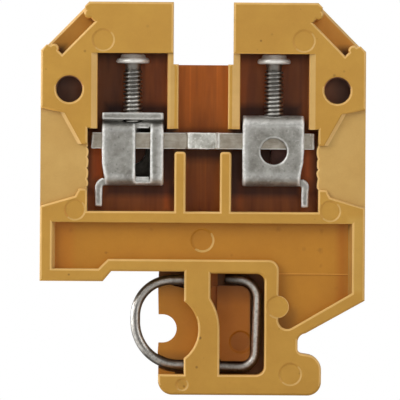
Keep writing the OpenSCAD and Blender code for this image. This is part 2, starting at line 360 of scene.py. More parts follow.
class Mat:
    """A small builder for node materials, with coordinates in millimetres of the part's frame."""

    def __init__(self, name):
        self.m = bpy.data.materials.new(name)
        self.m.use_nodes = True
        self.t = self.m.node_tree
        self.b = self.t.nodes["Principled BSDF"]
        tc = self.t.nodes.new("ShaderNodeTexCoord")
        sc = self.t.nodes.new("ShaderNodeVectorMath")
        sc.operation = "SCALE"
        sc.inputs["Scale"].default_value = 1000.0
        self.t.links.new(tc.outputs["Object"], sc.inputs[0])
        self.mm = sc.outputs[0]

    def link(self, a, b):
        self.t.links.new(a, b)

    def stretch(self, v):
        n = self.t.nodes.new("ShaderNodeVectorMath")
        n.operation = "MULTIPLY"
        n.inputs[1].default_value = v
        self.link(self.mm, n.inputs[0])
        return n.outputs[0]

    def noise(self, scale, detail=2.0, rough=0.55, vec=None, distortion=0.0):
        n = self.t.nodes.new("ShaderNodeTexNoise")
        n.inputs["Scale"].default_value = scale
        n.inputs["Detail"].default_value = detail
        n.inputs["Roughness"].default_value = rough
        n.inputs["Distortion"].default_value = distortion
        self.link(vec or self.mm, n.inputs["Vector"])
        return n.outputs["Fac"]

    def ramp(self, fac, stops):
        n = self.t.nodes.new("ShaderNodeValToRGB")
        e = n.color_ramp.elements
        while len(e) < len(stops):
            e.new(0.5)
        for el, (p, c) in zip(e, stops):
            el.position, el.color = p, c
        self.link(fac, n.inputs["Fac"])
        return n.outputs["Color"]

    def mix(self, fac, a, b, kind="MIX"):
        n = self.t.nodes.new("ShaderNodeMix")
        n.data_type, n.blend_type = "RGBA", kind
        for sock, v in (("Factor", fac), ("A", a), ("B", b)):
            i = [s for s in n.inputs if s.name == sock and s.enabled][0]
            if hasattr(v, "links"):
                self.link(v, i)
            else:
                i.default_value = v
        return [s for s in n.outputs if s.enabled][0]

    def math(self, op, a, b=0.0, c=0.0):
        n = self.t.nodes.new("ShaderNodeMath")
        n.operation = op
        for i, v in enumerate((a, b, c)):
            if hasattr(v, "links"):
                self.link(v, n.inputs[i])
            else:
                n.inputs[i].default_value = v
        return n.outputs[0]

    def range(self, v, a, b, c, d):
        n = self.t.nodes.new("ShaderNodeMapRange")
        self.link(v, n.inputs["Value"])
        for k, x in (("From Min", a), ("From Max", b), ("To Min", c), ("To Max", d)):
            n.inputs[k].default_value = x
        return n.outputs["Result"]

    def spot(self, at, r, soft=0.4, amount=1.0, rag=None):
        """An amount inside a small ball about a point in millimetres, 0 outside; a factor on the distance makes it ragged."""
        n = self.t.nodes.new("ShaderNodeVectorMath")
        n.operation = "DISTANCE"
        n.inputs[1].default_value = at
        self.link(self.mm, n.inputs[0])
        d = self.math("MULTIPLY", n.outputs["Value"], rag) if rag else n.outputs["Value"]
        return self.range(d, r * (1 - soft), r, amount, 0.0)

    def bump(self, height, strength, distance, normal=None):
        n = self.t.nodes.new("ShaderNodeBump")
        n.inputs["Strength"].default_value = strength
        n.inputs["Distance"].default_value = distance * MM
        self.link(height, n.inputs["Height"])
        if normal:
            self.link(normal, n.inputs["Normal"])
        return n.outputs["Normal"]


def plastic(name, light, dark, rough=(0.40, 0.52), specks=True, depth=None, streaks=0.0, painted_shade_light_and_lines=(), spots=()):
    m = Mat(name)
    broad = m.noise(0.16, 3.0, 0.6)
    cloud = m.noise(0.9, 3.0, 0.6)
    grain = m.noise(7.0, 2.0, 0.7)
    col = m.ramp(broad, [(0.32, dark), (0.68, light)])
    col = m.mix(m.range(cloud, 0.35, 0.75, 0.0, 0.22), col, tuple(c * 0.86 for c in dark[:3]) + (1,))
    col = m.mix(m.range(grain, 0.45, 0.75, 0.0, 0.16), col, tuple(min(1, c * 1.18) for c in light[:3]) + (1,))
    if specks:
        marks = [(-14.6, -3.25, 42.2, 0.22, 0.45), (16.1, -3.25, 39.4, 0.24, 0.45), (17.3, -3.25, 39.9, 0.18, 0.35),
                 (-16.4, -3.25, 14.7, 0.18, 0.6), (-11.7, -3.25, 17.4, 0.2, 0.7), (-0.2, -3.25, 7.0, 0.24, 0.75),
                 (-0.6, -3.25, 3.4, 0.22, 0.6), (7.05, -3.25, 43.6, 0.18, 0.7), (8.4, -3.25, 44.4, 0.20, 0.25),
                 (17.2, -3.25, 30.2, 0.2, 0.4), (-6.9, -3.25, 45.3, 0.26, 0.2)]
        for x, y, z, r, amount in marks:
            col = m.mix(m.spot((x, y, z), r, 0.6, amount), col, srgb(104, 66, 24))
        # sparse small inclusions all over the moulding
        vor = m.t.nodes.new("ShaderNodeTexVoronoi")
        vor.inputs["Scale"].default_value = 0.55
        m.link(m.mm, vor.inputs["Vector"])
        col = m.mix(m.range(vor.outputs["Distance"], 0.035, 0.075, 0.35, 0.0), col, srgb(120, 80, 32))
    xyz = m.t.nodes.new("ShaderNodeSeparateXYZ")
    m.link(m.mm, xyz.inputs[0])
    if depth:
        # painted shade: the hollows' colour is made redder and darker the deeper they lie
        tint = m.ramp(m.range(xyz.outputs["Y"], -3.25, 2.25, 0.0, 1.0), depth)
        col = m.mix(1.0, col, tint, "MULTIPLY")
        if streaks:
            # upright marks of the mould's core
            lines = m.noise(1.0, 2.0, 0.5, vec=m.stretch((0.9, 0.9, 0.09)), distortion=0.3)
            col = m.mix(m.range(lines, 0.40, 0.66, 0.0, streaks), col, m.mix(1.0, col, (0.40, 0.36, 0.42, 1), "MULTIPLY"))
    for cx, cz, hx, hz, soft, amount, *tint in painted_shade_light_and_lines:
        # painted shade, painted light and mould lines: each box multiplies the colour by its tint near a place, dark
        # by default
        dx = m.math("SUBTRACT", m.math("ABSOLUTE", m.math("SUBTRACT", xyz.outputs["X"], cx)), hx)
        dz = m.math("SUBTRACT", m.math("ABSOLUTE", m.math("SUBTRACT", xyz.outputs["Z"], cz)), hz)
        k = m.range(m.math("MAXIMUM", dx, dz), 0.0, soft, amount, 0.0)
        col = m.mix(k, col, m.mix(1.0, col, tint[0] if tint else (0.16, 0.15, 0.20, 1), "MULTIPLY"))
    if spots:
        # single faint inclusions, ragged in outline
        rag = m.range(m.noise(2.1, 2.0, 0.6), 0.30, 0.70, 0.55, 1.6)
        for x, y, z, r, amount, *soft in spots:
            k = m.spot((x, y, z), r, soft[0], amount) if soft else m.spot((x, y, z), r, 0.75, amount, rag)
            col = m.mix(k, col, m.mix(1.0, col, (0.42, 0.34, 0.24, 1), "MULTIPLY"))
    m.link(col, m.b.inputs["Base Color"])
    m.link(m.range(cloud, 0.3, 0.75, *rough), m.b.inputs["Roughness"])
    m.b.inputs["Specular IOR Level"].default_value = 0.30
    n1 = m.bump(m.noise(1.1, 2.0, 0.5), 0.25, 0.02)
    m.link(m.bump(grain, 0.22, 0.012, n1), m.b.inputs["Normal"])
    return m.m


def metal(name, light, dark, rough, mottle=1.3, stain=0.5, streak=(1, 1, 1), bump=0.3, metallic=1.0, edge=None, grain=0.30,
          wear_and_highlight_metallic=0.30, flecks=0.0):
    m = Mat(name)
    patch = m.noise(mottle, 5.0, 0.62, distortion=0.4)
    lines = m.noise(2.4, 3.0, 0.6, vec=m.stretch(streak))
    fine = m.noise(9.0, 2.0, 0.7)
    col = m.ramp(patch, [(0.32, dark), (0.66, light)])
    col = m.mix(m.range(lines, 0.50, 0.80, 0.0, stain), col, tuple(c * 0.55 for c in dark[:3]) + (1,))
    col = m.mix(m.range(fine, 0.55, 0.80, 0.0, grain), col, tuple(min(1, c * 1.25) for c in light[:3]) + (1,))
    if flecks:
        # small dull pits and brighter scuffs
        vor = m.t.nodes.new("ShaderNodeTexVoronoi")
        vor.inputs["Scale"].default_value = 1.5
        m.link(m.mm, vor.inputs["Vector"])
        col = m.mix(m.range(vor.outputs["Distance"], 0.08, 0.24, flecks, 0.0), col, tuple(c * 0.45 for c in dark[:3]) + (1,))
        scuff = m.noise(3.2, 3.0, 0.65, distortion=0.6)
        col = m.mix(m.range(scuff, 0.56, 0.74, 0.0, flecks), col, tuple(min(1, c * 1.35) for c in light[:3]) + (1,))
    r = m.math("ADD", m.range(patch, 0.25, 0.75, rough[0], rough[1]), m.range(fine, 0.3, 0.8, -0.04, 0.06))
    if edge:
        # painted highlight along the rounded edges and in the stored bands, unevenly, partly real edge wear
        wear_and_highlight_node = m.t.nodes.new("ShaderNodeAttribute")
        wear_and_highlight_node.attribute_name = "wear_and_highlight"
        k = m.math("MULTIPLY", wear_and_highlight_node.outputs["Fac"], m.range(m.noise(2.2, 3.0, 0.6), 0.30, 0.55, 0.55, 1.0))
        col = m.mix(k, col, edge)
        r = m.math("SUBTRACT", r, m.math("MULTIPLY", k, 0.08))
        m.link(m.range(k, 0.0, 1.0, metallic, wear_and_highlight_metallic), m.b.inputs["Metallic"])
    else:
        m.b.inputs["Metallic"].default_value = metallic
    m.link(col, m.b.inputs["Base Color"])
    m.link(r, m.b.inputs["Roughness"])
    n1 = m.bump(patch, bump, 0.03)
    n2 = m.bump(lines, bump * 0.6, 0.02, n1)
    m.link(m.bump(fine, bump * 0.5, 0.008, n2), m.b.inputs["Normal"])
    return m.m


# the box at the recess's right end paints a highlight on its rim
TAN = plastic("moulding_tan", srgb(192, 145, 60), srgb(183, 135, 54),
              painted_shade_light_and_lines=[(18.9, 17.4, 0.6, 4.2, 0.7, 1.0, (1.07, 1.15, 1.42, 1))],
              spots=[(-2.4, -3.1, 1.25, 0.62, 0.16), (-2.15, -3.1, 1.0, 0.20, 0.7)])
# tints for the boxes: the first is a redder painted shade, the second a painted glow of light in the hollows, the
# third pale mould lines
PAINTED_WARM_SHADE, PAINTED_GLOW, LINE = (1.05, 0.84, 0.66, 1), (1.9, 1.5, 1.15, 1), (1.7, 1.75, 1.8, 1)
# painted shade: darker and redder with depth, a darker patch at x 10.2 z 9, darker at the left pocket's top and
# bottom, redder at both ends of the recess
DEEP = plastic("moulding_hollows_painted_shade", srgb(204, 154, 70), srgb(194, 144, 63), specks=False,
               depth=[(0.0, (0.96, 0.94, 0.86, 1)), (0.218, (0.80, 0.63, 0.25, 1)), (0.68, (0.80, 0.61, 0.28, 1)), (1.0, (0.90, 0.54, 0.28, 1))],
               painted_shade_light_and_lines=[(10.2, 9.0, 0.1, 0.1, 1.8, 0.32), (-4.0, 13.5, 2.6, 0.1, 1.5, 0.40), (-3.5, 4.2, 3.0, 0.1, 1.3, 0.42),
                      (17.2, 16.5, 0.15, 6.0, 0.9, 1.0, (0.90, 0.74, 0.46, 1)), (-17.6, 16.5, 1.2, 6.0, 1.0, 0.6, PAINTED_WARM_SHADE)],
               spots=[(12.5, -2.05, 18.0, 0.30, 0.22), (14.5, -2.05, 17.95, 0.40, 0.38), (9.3, -2.05, 20.4, 0.40, 0.32), (14.6, -2.05, 16.0, 0.26, 0.25),
                      (-11.85, -2.05, 17.4, 0.22, 0.55), (14.7, -2.05, 20.2, 0.34, 0.28), (-6.3, -2.05, 20.3, 0.30, 0.25), (3.6, -2.05, 17.2, 0.28, 0.22),
                      (-16.2, -2.05, 20.1, 0.45, 0.22), (16.6, -2.05, 13.2, 0.30, 0.22)])
# painted shade: darker and redder with depth, darkest along its top under the wire's track and along its right edge
# beside the wire
ISLAND = plastic("moulding_raised_floor_painted_shade", srgb(204, 154, 70), srgb(194, 144, 63), specks=False,
                 depth=[(0.0, (0.96, 0.94, 0.86, 1)), (0.68, (0.85, 0.54, 0.21, 1)), (1.0, (0.60, 0.36, 0.22, 1))],
                 painted_shade_light_and_lines=[(4.4, 14.6, 5.0, 0.3, 3.4, 0.85), (6.3, 8.5, 0.1, 8.0, 0.55, 0.45)],
                 spots=[(4.68, 0.5, 6.58, 1.22, 0.24, 0.08)])
# one groove floor per side: the left painted darker and the right painted lighter for how the light falls, each with
# painted shade toward its outer top corner
GUTTER_L = plastic("moulding_groove_left_painted_shade", srgb(176, 127, 48), srgb(166, 117, 42), specks=False,
                   painted_shade_light_and_lines=[(-17.7, 42.4, 0.1, 0.1, 0.9, 0.85)])
GUTTER_R = plastic("moulding_groove_right_painted_light", srgb(224, 158, 64), srgb(214, 148, 58), specks=False,
                   painted_shade_light_and_lines=[(17.45, 42.3, 0.1, 0.1, 1.0, 0.90)])
# painted shade: a darker orange on the rounded inner edges of the strips beside the screw chambers
BEND = plastic("moulding_bend_painted_shade", srgb(190, 134, 62), srgb(176, 118, 52), rough=(0.34, 0.46), specks=False)
# painted shade: a darker tone for the recess's right end wall
WEDGE = plastic("moulding_recess_wall_painted_shade", srgb(170, 126, 60), srgb(158, 113, 51), specks=False)
# painted shade: darker and redder with depth, a painted shadow under the bar, darker lower down and a dark band at z
# 32.2 over the bar; the four thin pale boxes are mould lines
MIDDLE = plastic("moulding_middle_painted_shade", srgb(204, 154, 70), srgb(194, 144, 63), specks=False, streaks=0.5,
                 depth=[(0.0, (1.0, 1.0, 1.0, 1)), (0.4, (0.98, 0.74, 0.50, 1)), (1.0, (1.01, 0.55, 0.24, 1))],
                 painted_shade_light_and_lines=[(-1.62, 37.0, 0.02, 3.4, 0.13, 0.26, LINE), (1.70, 37.0, 0.02, 3.4, 0.13, 0.18, LINE), (-0.25, 26.0, 0.02, 3.0, 0.13, 0.28, LINE),
                        (0.35, 26.0, 0.02, 3.0, 0.13, 0.20, LINE), (0.0, 30.3, 4.0, 0.8, 1.2, 0.85), (0.0, 26.5, 4.0, 3.0, 3.0, 0.17), (0.0, 32.2, 4.0, 0.2, 0.7, 0.55)])
# painted shade: darker and redder with depth, dark behind both yokes, inside the funnel lips, toward the chambers'
# outer sides and under their ceilings; the brightening boxes paint pools of light near the lips and the ribs
DARK = plastic("moulding_chambers_painted_shade", srgb(204, 154, 70), srgb(194, 144, 63), specks=False, streaks=0.5,
               depth=[(0.0, (1.0, 1.0, 1.0, 1)), (0.25, (0.80, 0.55, 0.42, 1)), (0.6, (0.62, 0.38, 0.34, 1)), (1.0, (0.78, 0.41, 0.36, 1))],
               painted_shade_light_and_lines=[(-7.7, 30.1, 3.9, 5.2, 0.9, 0.8), (7.6, 30.1, 3.9, 5.2, 0.9, 0.8), (-14.3, 28.1, 0.1, 2.6, 1.2, 0.8), (14.3, 28.1, 0.1, 2.6, 1.2, 0.8),
                      (11.0, 38.0, 1.0, 4.0, 2.0, 0.2), (-11.6, 38.4, 0.9, 5.0, 3.2, 0.50),
                      (0.0, 42.2, 14.0, 0.3, 1.2, 0.6),
                      (-13.0, 28.7, 0.15, 1.6, 0.9, 1.0, PAINTED_GLOW), (12.8, 28.7, 0.2, 1.6, 0.9, 0.7, PAINTED_GLOW), (-4.5, 24.6, 0.10, 1.5, 0.50, 0.50, PAINTED_GLOW),
                      (4.6, 24.7, 0.10, 1.5, 0.50, 0.25, PAINTED_GLOW), (-5.2, 38.0, 0.6, 2.5, 1.5, 0.22, PAINTED_GLOW), (5.0, 38.0, 0.4, 2.5, 1.5, 0.22, PAINTED_GLOW)])
# painted shade: darker with depth along the wire's track; the box paints a glow of light on the pocket's step
TRACK = plastic("moulding_track_painted_shade", srgb(204, 154, 70), srgb(194, 144, 63), specks=False,
                depth=[(0.0, (1.0, 1.0, 1.0, 1)), (0.25, (0.74, 0.56, 0.46, 1)), (0.6, (0.58, 0.42, 0.40, 1)), (1.0, (0.46, 0.35, 0.40, 1))],
                painted_shade_light_and_lines=[(1.2, 14.2, 0.68, 1.1, 0.10, 1.0, (2.5, 1.9, 1.05, 1))])
# painted shade: a darker, redder base for the deep sockets, darker still at their outer sides and top, with painted
# light toward their inner sides
SOCKET = plastic("moulding_socket_painted_shade", srgb(166, 116, 84), srgb(152, 104, 75), specks=False,
                 painted_shade_light_and_lines=[(-18.2, 37.5, 0.6, 3.0, 1.8, 0.42), (18.2, 37.5, 0.6, 3.0, 1.8, 0.42), (0.0, 39.2, 20.0, 0.4, 1.0, 0.40),
                        (-15.2, 37.1, 0.3, 0.8, 1.3, 0.8, (1.5, 1.45, 1.35, 1)), (15.2, 37.0, 0.3, 0.8, 1.4, 0.8, (1.6, 1.4, 1.2, 1))])
# painted sheen: a paler tone for the funnel faces, the strips that face left and the lit side of ejector marks' steps;
# a slightly darker line runs down the strip at x -3.76, and painted shade lies at the strip's foot at z 32.6
SKIN = plastic("moulding_funnel_painted_sheen", srgb(202, 163, 94), srgb(192, 151, 82), rough=(0.44, 0.56), specks=False,
               painted_shade_light_and_lines=[(-3.76, 37.4, 0.18, 6.0, 0.22, 0.9, (0.84, 0.80, 0.68, 1)), (-4.0, 32.6, 0.8, 0.1, 0.5, 0.7, (0.86, 0.70, 0.46, 1))])
# painted highlight: a paler tone for the rounded rims that face up or sideways, the strips that face right and the
# recess's left end wall; the box paints shade at a strip's foot at z 32.6
EDGE = plastic("moulding_edge_painted_highlight", srgb(222, 178, 108), srgb(208, 164, 90), rough=(0.34, 0.46), specks=False,
               painted_shade_light_and_lines=[(4.0, 32.6, 0.8, 0.1, 0.5, 0.7, (0.86, 0.70, 0.46, 1))])
# painted highlight: the palest tone, for the funnels' slanted strips, the funnel lips and the marker grooves' outer
# edges
SLOPE = plastic("moulding_slope_painted_highlight", srgb(230, 188, 122), srgb(218, 176, 108), rough=(0.34, 0.46), specks=False)
# the edge colour paints highlights along the rounded edges and the stored bands, partly real edge wear
YOKE = metal("zinc_yoke", srgb(172, 170, 163), srgb(124, 121, 113), (0.34, 0.46), mottle=0.55, stain=0.30, streak=(0.5, 0.5, 0.35),
             bump=0.18, metallic=0.65, edge=srgb(236, 235, 230), grain=0.14, flecks=0.45)
# painted shade: dark metal for the faces inside the yokes; the right yoke's is a warm brown, a painted reflection of
# the chamber
INNER = metal("zinc_inside", srgb(78, 74, 68), srgb(52, 48, 43), (0.5, 0.65), mottle=0.9, stain=0.45)
INNER_R = metal("zinc_inside_painted_reflection", srgb(122, 80, 68), srgb(98, 62, 52), (0.5, 0.65), mottle=0.9, stain=0.35, metallic=0.2)
# the edge colour is laid on the bar's stored bands: painted highlights
BAR = metal("tinned_bar", srgb(187, 179, 165), srgb(156, 146, 130), (0.42, 0.54), mottle=0.9, stain=0.4, streak=(0.25, 1.0, 1.6),
            edge=srgb(234, 231, 224))
BOSS = metal("tinned_bar_middle", srgb(226, 225, 216), srgb(158, 154, 142), (0.36, 0.50), mottle=0.75, stain=0.25, streak=(0.6, 1.0, 0.6),
             bump=0.45, edge=srgb(246, 245, 238))
# painted light and shade on the screws: dark thread roots, dimmer upper turns and a darker neck under the flange as
# painted shade, and a near-white, barely metallic head as painted light
SCREW = metal("zinc_screw", srgb(204, 202, 196), srgb(172, 169, 160), (0.30, 0.40), mottle=1.2, stain=0.3)
GROOVE = metal("zinc_thread_root_painted_shade", srgb(112, 108, 102), srgb(86, 82, 76), (0.40, 0.52), mottle=1.2, stain=0.3)
THREAD_SHADE = metal("zinc_thread_painted_shade", srgb(160, 158, 153), srgb(134, 131, 124), (0.34, 0.46), mottle=1.2, stain=0.3)
NECK = metal("zinc_neck_painted_shade", srgb(146, 142, 135), srgb(118, 114, 107), (0.40, 0.52), mottle=1.2, stain=0.3)
HEAD = metal("zinc_head_painted_light", srgb(246, 244, 237), srgb(226, 223, 214), (0.28, 0.38), mottle=1.0, stain=0.15, metallic=0.30, grain=0.15)
# a dark base, with the pale edge colour laid on in the bands that tube() stores: painted highlights, the dark base
# painted shade between them
WIRE = metal("spring_wire", srgb(72, 68, 62), srgb(58, 54, 50), (0.42, 0.52), mottle=0.6, stain=0.25, streak=(0.6, 3.0, 0.6), bump=0.03, grain=0.06,
             edge=srgb(218, 215, 208), wear_and_highlight_metallic=0.9)


# ---------------------------------------------------------------- housing

MARKS = [(-12.35, -3.25, 43.6, 1.33), (12.35, -3.25, 43.6, 1.33), (-15.7, -3.25, 22.68, 1.24), (15.7, -3.25, 22.68, 1.24),
         (0.0, -2.05, 19.0, 1.38), (10.9, -3.25, 2.6, 1.35), (-2.4, -3.25, 1.25, 0.72), (9.33, -3.25, 10.87, 1.36), (4.78, 0.5, 6.47, 1.33)]


def ejector_marks(bm):
    """Round ejector-pin marks: a shallow sloping step down to a flat disc."""
    cut = bmesh.new()
    for x, y, z, r in MARKS:
        d = 1.0 if y < -3 else 1.5
        lathe(cut, [(r + 0.12, -0.30), (r + 0.12, -0.012), (r + 0.08, 0.014 * d), (r - 0.10, 0.135 * d), (r - 0.16, 0.15 * d)], 64, (x, y, z), "Y")
    bmesh.ops.recalc_face_normals(cut, faces=cut.faces)
    bm = boolean(bm, cut)
    for f in bm.faces:
        if f.material_index == 0 and -0.97 < f.normal.y < -0.3:
            c = f.calc_center_median()
            for x, y, z, r in MARKS:
                u, w = c.x - x, c.z - z
                if abs(c.y - y - 0.1) < 0.16 and abs(math.hypot(u, w) - r) < 0.2:
                    # painted highlight: the step's lower-right side gets the paler slot
                    if y < -3:
                        f.material_index = 2 if u - w > 0.0 else 0
                    elif y < 0:
                        f.material_index = 2 if u - w > 0.2 * r else 0
    return bm


def mark_hollows(bm, slot, dark_slot, mid_slot, socket_slot, track_slot):
    """Gives slots to the faces that lie in the moulding's hollows: walls on three sides or more."""
    tree = BVHTree.FromBMesh(bm)
    for f in bm.faces:
        if f.material_index:
            continue
        c = f.calc_center_median()
        if c.y > 3.2 or (f.normal.y < -0.9 and c.y < -2.9):
            continue
        at = c + f.normal * 0.02
        if c.y > 2.27 or not any(tree.ray_cast(at, Vector((0, d, 0)))[0] for d in (-1, 1)):
            continue  # behind the hollows' floor, or in a cut that goes right through
        hits = 0
        for d in ((1, 0, 0), (-1, 0, 0), (0, 0, 1), (0, 0, -1)):
            if tree.ray_cast(at, Vector(d))[0] is not None:
                hits += 1
        if hits < 3:
            continue
        x = abs(c.x)
        chamber = 3.55 < x < 14.35 and 22.4 < c.z < 42.1
        socket = (x - 16.5) ** 2 + (c.z - 37.5) ** 2 < 2.9
        track = c.z < 15.2 and c.y > 0.9 and c.x > -5.4
        # painted shade: the slots given here hold the materials that darken the hollows
        if c.z < 15.2 and 0.4 < c.y < 0.75 and 0.9 < c.x < 7.0:
            f.material_index = 12  # raised floor in the right pocket
            continue
        if track and abs(c.y - 1.1) < 0.05 and c.x < 2.0:
            f.material_index = mid_slot
            continue
        f.material_index = (dark_slot if chamber else socket_slot if socket else track_slot if track
                            else mid_slot if x < 3.6 and c.z > 22 else slot)


def lips(bm):
    """Rounds the inner edge of each funnel face and lets it run unevenly, as the thin moulding there does."""
    def skin():
        fs = [f for f in bm.faces if f.material_index == 2]
        return fs + list({e for f in fs for e in f.edges}) + list({v for f in fs for v in f.verts})
    for s in (-1, 1):
        for x in (14.42, 14.62):
            bmesh.ops.bisect_plane(bm, geom=skin(), dist=1e-5, plane_co=(s * x, 0, 0), plane_no=(1, 0, 0))
    for k in range(1, 52):
        bmesh.ops.bisect_plane(bm, geom=skin(), dist=1e-5, plane_co=(0, 0, 25.3 + 5.45 * k / 52), plane_no=(0, 0, 1))
    # painted highlight: the lip faces get the palest slot
    for f in bm.faces:
        if f.material_index == 2 and abs(f.calc_center_median().x) < 14.43:
            f.material_index = 9
    for v in bm.verts:
        x, y, z = v.co
        if abs(y + 2.65) > 0.01 or not 25.35 < z < 30.7 or abs(x) > 14.63:
            continue
        s = 1 if x > 0 else -1
        u = noise.noise(Vector((s * 4.0, 0.3, z * 0.9)))
        wave = abs(math.sin(math.pi * (z - 25.4) / 1.25 + 0.9 * u)) ** 0.6
        move = 0.10 + 0.06 * u - 0.20 * wave - (0.10 if s > 0 else 0.0)
        k = 1.0 if abs(x) < 14.25 else 0.95 if abs(x) < 14.5 else 0.35
        v.co.x += s * k * move
        v.co.y += 0.05 if abs(x) < 14.25 else 0.0
    bm.normal_update()
    bm.faces.ensure_lookup_table()


def round_strips(bm, slot):
    """Rounds the inner edge of each sloping strip beside the screw chambers."""
    edges = []
    for e in bm.edges:
        if len(e.link_faces) == 2 and e.calc_length() > 3.0 and abs(e.verts[0].co.z - e.verts[1].co.z) > 3.0:
            strip = [f for f in e.link_faces if f.material_index in (5, 10) and f.calc_center_median().z > 30]
            wall = [f for f in e.link_faces if abs(f.normal.y) < 0.15]
            if strip and wall:
                edges.append(e)
    # painted shade: the rounding's faces take the given slot, a darker orange
    bevel(bm, edges, 0.09, 2, slot)


def marker_floors(bm, left, right, edge_slot):
    """Gives the floors of the marker grooves slots of their own and slopes their outer edges."""
    # the left floor's slot is painted shade and the right's painted light
    for slot, s in ((left, -1), (right, 1)):
        floor_faces, lines = [], []
        for f in bm.faces:
            c = f.calc_center_median()
            if f.normal.y < -0.9 and abs(c.y - 2.25) < 0.02 and c.x * s > 12.6 and c.z > 39.5:
                f.material_index = slot
                floor_faces.append(f)
                for e in f.edges:
                    for g in e.link_faces:
                        if g is not f and g.normal.z > 0.4 and g.normal.x * s > 0.4 and e.calc_length() > 2.0:
                            lines.append((e.verts[0].co.copy(), g.normal.copy()))
        if not lines:
            continue
        at, out = max(lines, key=lambda line: line[0].dot(line[1]))  # the outer edge, not the inner wall
        geom = floor_faces + list({e for f in floor_faces for e in f.edges}) + list({v for f in floor_faces for v in f.verts})
        bmesh.ops.bisect_plane(bm, geom=geom, dist=1e-5, plane_co=at - out * 0.30, plane_no=out)
        # painted highlight: the sloped outer edge gets the palest slot
        for f in bm.faces:
            if f.material_index == slot and (f.calc_center_median() - at).dot(out) > -0.29:
                f.material_index = edge_slot
        for v in bm.verts:
            if abs(v.co.y - 2.25) < 0.02 and v.co.x * s > 12.0 and v.co.z > 39.5 and abs((v.co - at).dot(out)) < 0.02:
                v.co.y += 0.18
    bm.normal_update()


def narrow_track(bm):
    """Brings the inner wall of the wire's track close to the wire."""
    for v in bm.verts:
        x, y, z = v.co
        if y < 0.3 or x > -2.0 or z > 15:
            continue
        lo = Vector((x + 2.81, 0, z - 8.94))
        hi = Vector((x + 3.75, 0, z - 9.73))
        if z < 8.9 and abs(lo.length - 4.55) < 0.03:
            lo *= 0.16 / lo.length
            v.co.x, v.co.z = x + lo.x, z + lo.z
        elif z > 9.7 and x < -3.7 and abs(hi.length - 3.61) < 0.03:
            hi *= 0.16 / hi.length
            v.co.x, v.co.z = x + hi.x, z + hi.z
        elif abs(z - 13.34) < 0.01:
            v.co.z += 0.16


def build_housing():
    bm = cad_bm("housing")
    # painted sheen and highlight: the funnel faces, the slanted strips and the chamber strips get paler slots, as does
    # the recess's left end wall; its right end wall gets the darker painted-shade slot
    for f in bm.faces:
        if f.normal.y < -0.9 and abs(f.calc_center_median().y + 2.65) < 0.05:
            f.material_index = 2
        elif -0.97 < f.normal.y < -0.4 and f.calc_center_median().y < -2.6:
            f.material_index = 9 if abs(f.normal.z) > 0.2 else 5 if f.normal.x > 0 else 10
        elif -0.97 < f.normal.y < -0.2 and abs(f.calc_center_median().x) > 17.7 and 12 < f.calc_center_median().z < 21.2:
            f.material_index = 5 if f.normal.x > 0 else 15
    narrow_track(bm)
    front = [f for f in bm.faces if f.normal.y < -0.99 and abs(f.calc_center_median().y + 3.25) < 0.01]
    rim(bm, front, 0.26, 0.20, (0, 1, 0), 1)
    back = [f for f in bm.faces if f.normal.y > 0.99 and abs(f.calc_center_median().y - 3.25) < 0.01]
    rim(bm, back, 0.20, 0.16, (0, -1, 0), 1)
    round_strips(bm, 11)
    marker_floors(bm, 13, 14, 9)
    lips(bm)
    for x in (-14.2, -3.3, 3.3, 14.2):
        wall = [f for f in bm.faces if f.normal.y < -0.9 and abs(f.calc_center_median().y - 2.25) < 0.02]
        bmesh.ops.bisect_plane(bm, geom=wall + list({e for f in wall for e in f.edges}) + list({v for f in wall for v in f.verts}),
                               dist=1e-5, plane_co=(x, 0, 0), plane_no=(1, 0, 0))
    # painted highlight: a fine pale line along the step in the recess's floor
    level = [f for f in bm.faces if f.normal.y < -0.99 and abs(f.calc_center_median().y + 2.05) < 0.02]
    low = min(v.co.z for f in level for v in f.verts)
    bmesh.ops.bisect_plane(bm, geom=level + list({e for f in level for e in f.edges}) + list({v for f in level for v in f.verts}),
                           dist=1e-5, plane_co=(0, 0, low + 0.08), plane_no=(0, 0, 1))
    for f in bm.faces:
        c = f.calc_center_median()
        if f.normal.y < -0.99 and abs(c.y + 2.05) < 0.02 and c.z < low + 0.07:
            f.material_index = 14
    for v in bm.verts:
        if -4.60 < v.co.x < -4.40 and 32.6 < v.co.z < 42.2 and v.co.y < 2.3:
            v.co.x += 0.12
    bm = ejector_marks(bm)
    mark_hollows(bm, 3, 4, 6, 7, 8)
    crisp(bm, 14, soft_slots=(1, 9))
    ob = make("housing_moulding", bm, [TAN, EDGE, SKIN, DEEP, DARK, EDGE, MIDDLE, SOCKET, TRACK, SLOPE, SKIN, BEND, ISLAND, GUTTER_L, GUTTER_R, WEDGE])
    weighted(ob)
    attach(ob, "housing")
    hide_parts("housing")


# ---------------------------------------------------------------- current bar

